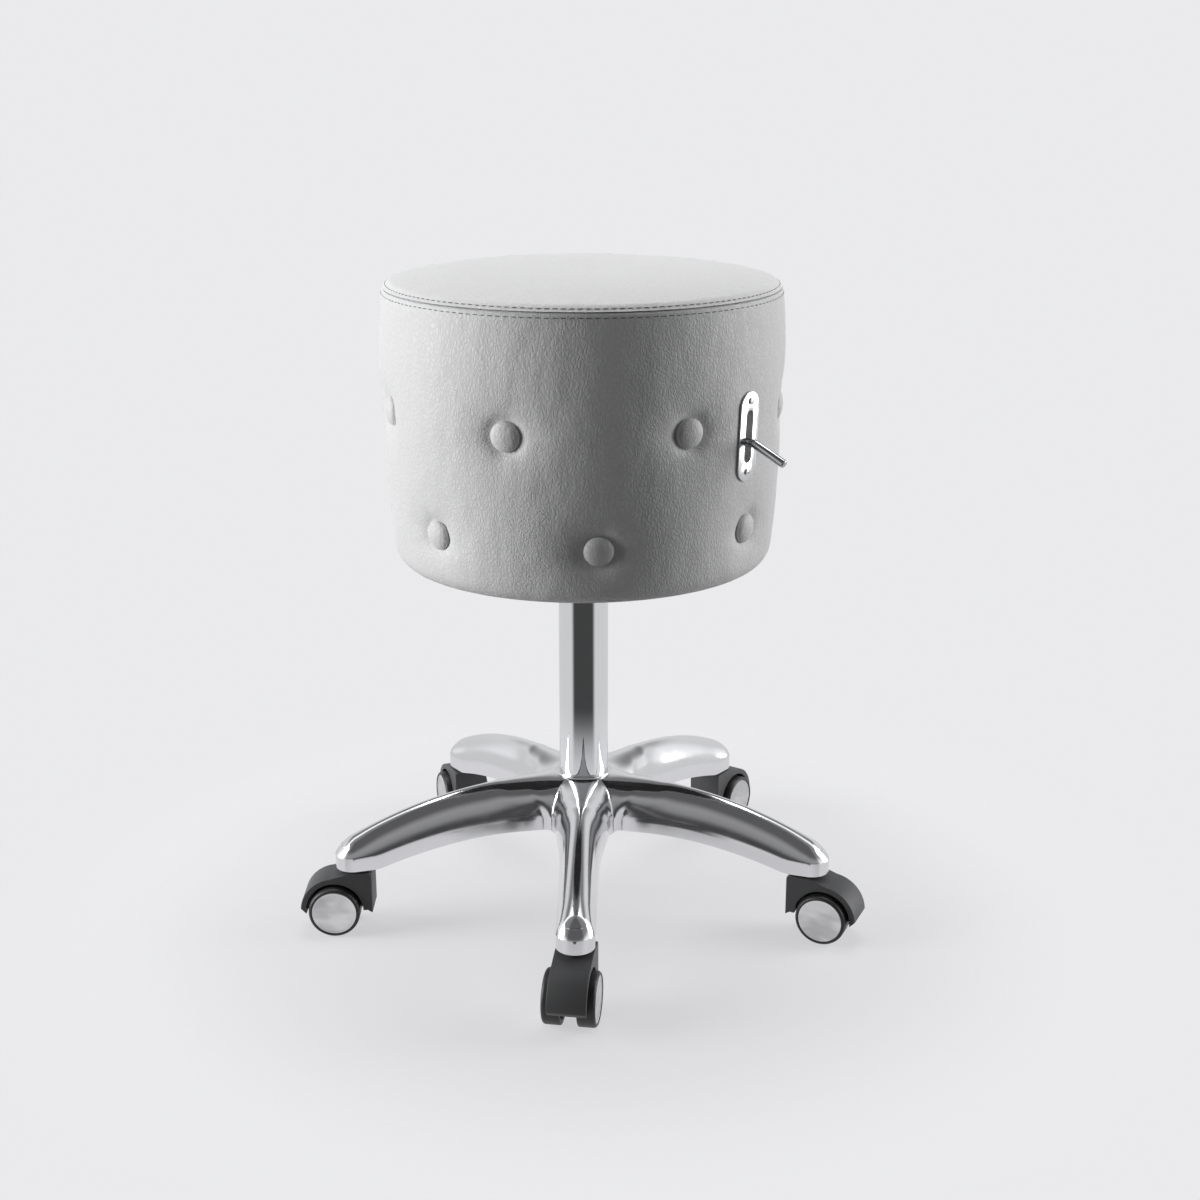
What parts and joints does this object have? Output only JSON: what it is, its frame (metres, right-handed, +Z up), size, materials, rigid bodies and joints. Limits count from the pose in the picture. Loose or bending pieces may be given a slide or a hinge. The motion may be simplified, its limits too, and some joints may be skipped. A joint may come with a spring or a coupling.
{
  "type": "rolling stylist stool",
  "caption": "Rolling stool with a deep button-tufted drum seat, side lever, gas lift and a polished star base on twin-wheel casters.",
  "frame": {"origin": "on the floor, on the axis of the gas lift", "axes": "+Z is up along the gas lift; -Y is the front, towards the front arm; +X is the side that the lever is nearer to"},
  "size_m": [0.572, 0.5553, 0.664],
  "materials": {
    "polished_aluminium": "mirror polished casting",
    "chromed_steel": "bright chrome",
    "cap_chrome": "satin chrome",
    "dark_plastic": "satin",
    "hood_plastic": "fine moulded satin",
    "wheel_nylon": "satin",
    "bare_steel": "turned",
    "black_rubber": "matt",
    "black_paint": "powder coat",
    "plywood": "bare",
    "dust_cloth": "non-woven",
    "padding": "open-cell foam",
    "leatherette": "fine pebbled grain, light grey"
  },
  "bodies": {
    "base": {"base_star": "polished_aluminium", "stand_tube": "chromed_steel", "guide_bush": "dark_plastic", "lower_race": "bare_steel", "caster_stems": "bare_steel", "grip_rings": "bare_steel"},
    "spindle": {"piston_rod": "bare_steel", "upper_race": "bare_steel", "thrust_balls": "bare_steel", "bump_stop": "black_rubber", "retaining_clip": "bare_steel"},
    "seat": {"gas_cylinder": "black_paint", "cylinder_guide": "dark_plastic", "seat_mechanism": "black_paint", "mechanism_bolts": "bare_steel", "mount_board": "plywood", "seat_board": "plywood", "drum_shell": "plywood", "bottom_board": "plywood", "dust_cover": "dust_cloth", "seat_foam": "padding", "side_foam": "padding", "top_cover": "leatherette", "side_cover": "leatherette", "tufting_buttons": "leatherette", "lever_plate": "chromed_steel", "plate_screws": "chromed_steel", "lever_pin": "bare_steel"},
    "lever": {"lever": "chromed_steel"},
    "release_pin": {"release_pin": "bare_steel"},
    "caster_1": {"caster_hood_1": "hood_plastic", "caster_axle_1": "bare_steel"},
    "wheel_left_1": {"wheel_left_1": "wheel_nylon", "cap_left_1": "cap_chrome"},
    "wheel_right_1": {"wheel_right_1": "wheel_nylon", "cap_right_1": "cap_chrome"},
    "caster_2": {"caster_hood_2": "hood_plastic", "caster_axle_2": "bare_steel"},
    "wheel_left_2": {"wheel_left_2": "wheel_nylon", "cap_left_2": "cap_chrome"},
    "wheel_right_2": {"wheel_right_2": "wheel_nylon", "cap_right_2": "cap_chrome"},
    "caster_3": {"caster_hood_3": "hood_plastic", "caster_axle_3": "bare_steel"},
    "wheel_left_3": {"wheel_left_3": "wheel_nylon", "cap_left_3": "cap_chrome"},
    "wheel_right_3": {"wheel_right_3": "wheel_nylon", "cap_right_3": "cap_chrome"},
    "caster_4": {"caster_hood_4": "hood_plastic", "caster_axle_4": "bare_steel"},
    "wheel_left_4": {"wheel_left_4": "wheel_nylon", "cap_left_4": "cap_chrome"},
    "wheel_right_4": {"wheel_right_4": "wheel_nylon", "cap_right_4": "cap_chrome"},
    "caster_5": {"caster_hood_5": "hood_plastic", "caster_axle_5": "bare_steel"},
    "wheel_left_5": {"wheel_left_5": "wheel_nylon", "cap_left_5": "cap_chrome"},
    "wheel_right_5": {"wheel_right_5": "wheel_nylon", "cap_right_5": "cap_chrome"}
  },
  "joints": [
    {"name": "seat_swivel", "type": "hinge", "parent": "base", "child": "spindle", "pos_m": [0, 0, 0.1], "axis": [0, 0, 1], "continuous": true},
    {"name": "seat_lift", "type": "slide", "parent": "spindle", "child": "seat", "axis": [0, 0, 1], "range_m": [0, 0.2]},
    {"name": "lever_tilt", "type": "hinge", "parent": "seat", "child": "lever", "pos_m": [0.03126, -0.02496, 0.517], "axis": [-0.6239, -0.7815, 0], "range_deg": [0, 6], "stiffness_Nm_per_rad": 2},
    {"name": "release_press", "type": "slide", "parent": "seat", "child": "release_pin", "axis": [0, 0, 1], "range_m": [-0.0045, 0]},
    {"name": "caster_swivel_1", "type": "hinge", "parent": "base", "child": "caster_1", "pos_m": [-0.00594, -0.24293, 0.055], "axis": [0, 0, 1], "continuous": true},
    {"name": "wheel_left_spin_1", "type": "hinge", "parent": "caster_1", "child": "wheel_left_1", "pos_m": [-0.00891, -0.26169, 0.026], "axis": [0.9877, -0.1564, 0], "continuous": true},
    {"name": "wheel_right_spin_1", "type": "hinge", "parent": "caster_1", "child": "wheel_right_1", "pos_m": [-0.00891, -0.26169, 0.026], "axis": [0.9877, -0.1564, 0], "continuous": true},
    {"name": "caster_swivel_2", "type": "hinge", "parent": "base", "child": "caster_2", "pos_m": [0.2292, -0.08071, 0.055], "axis": [0, 0, 1], "continuous": true},
    {"name": "wheel_left_spin_2", "type": "hinge", "parent": "caster_2", "child": "wheel_left_2", "pos_m": [0.24656, -0.08844, 0.026], "axis": [0.4067, 0.9135, 0], "continuous": true},
    {"name": "wheel_right_spin_2", "type": "hinge", "parent": "caster_2", "child": "wheel_right_2", "pos_m": [0.24656, -0.08844, 0.026], "axis": [0.4067, 0.9135, 0], "continuous": true},
    {"name": "caster_swivel_3", "type": "hinge", "parent": "base", "child": "caster_3", "pos_m": [0.14759, 0.19304, 0.055], "axis": [0, 0, 1], "continuous": true},
    {"name": "wheel_left_spin_3", "type": "hinge", "parent": "caster_3", "child": "wheel_left_3", "pos_m": [0.15849, 0.20861, 0.026], "axis": [-0.8192, 0.5736, 0], "continuous": true},
    {"name": "wheel_right_spin_3", "type": "hinge", "parent": "caster_3", "child": "wheel_right_3", "pos_m": [0.15849, 0.20861, 0.026], "axis": [-0.8192, 0.5736, 0], "continuous": true},
    {"name": "caster_swivel_4", "type": "hinge", "parent": "base", "child": "caster_4", "pos_m": [-0.13799, 0.20002, 0.055], "axis": [0, 0, 1], "continuous": true},
    {"name": "wheel_left_spin_4", "type": "hinge", "parent": "caster_4", "child": "wheel_left_4", "pos_m": [-0.14448, 0.21788, 0.026], "axis": [-0.9397, -0.342, 0], "continuous": true},
    {"name": "wheel_right_spin_4", "type": "hinge", "parent": "caster_4", "child": "wheel_right_4", "pos_m": [-0.14448, 0.21788, 0.026], "axis": [-0.9397, -0.342, 0], "continuous": true},
    {"name": "caster_swivel_5", "type": "hinge", "parent": "base", "child": "caster_5", "pos_m": [-0.23287, -0.06942, 0.055], "axis": [0, 0, 1], "continuous": true},
    {"name": "wheel_left_spin_5", "type": "hinge", "parent": "caster_5", "child": "wheel_left_5", "pos_m": [-0.25187, -0.06942, 0.026], "axis": [0, -1, 0], "continuous": true},
    {"name": "wheel_right_spin_5", "type": "hinge", "parent": "caster_5", "child": "wheel_right_5", "pos_m": [-0.25187, -0.06942, 0.026], "axis": [0, -1, 0], "continuous": true}
  ],
  "couplings": [
    {"joint": "release_press", "follows": "lever_tilt", "m_per_rad": -0.04}
  ]
}
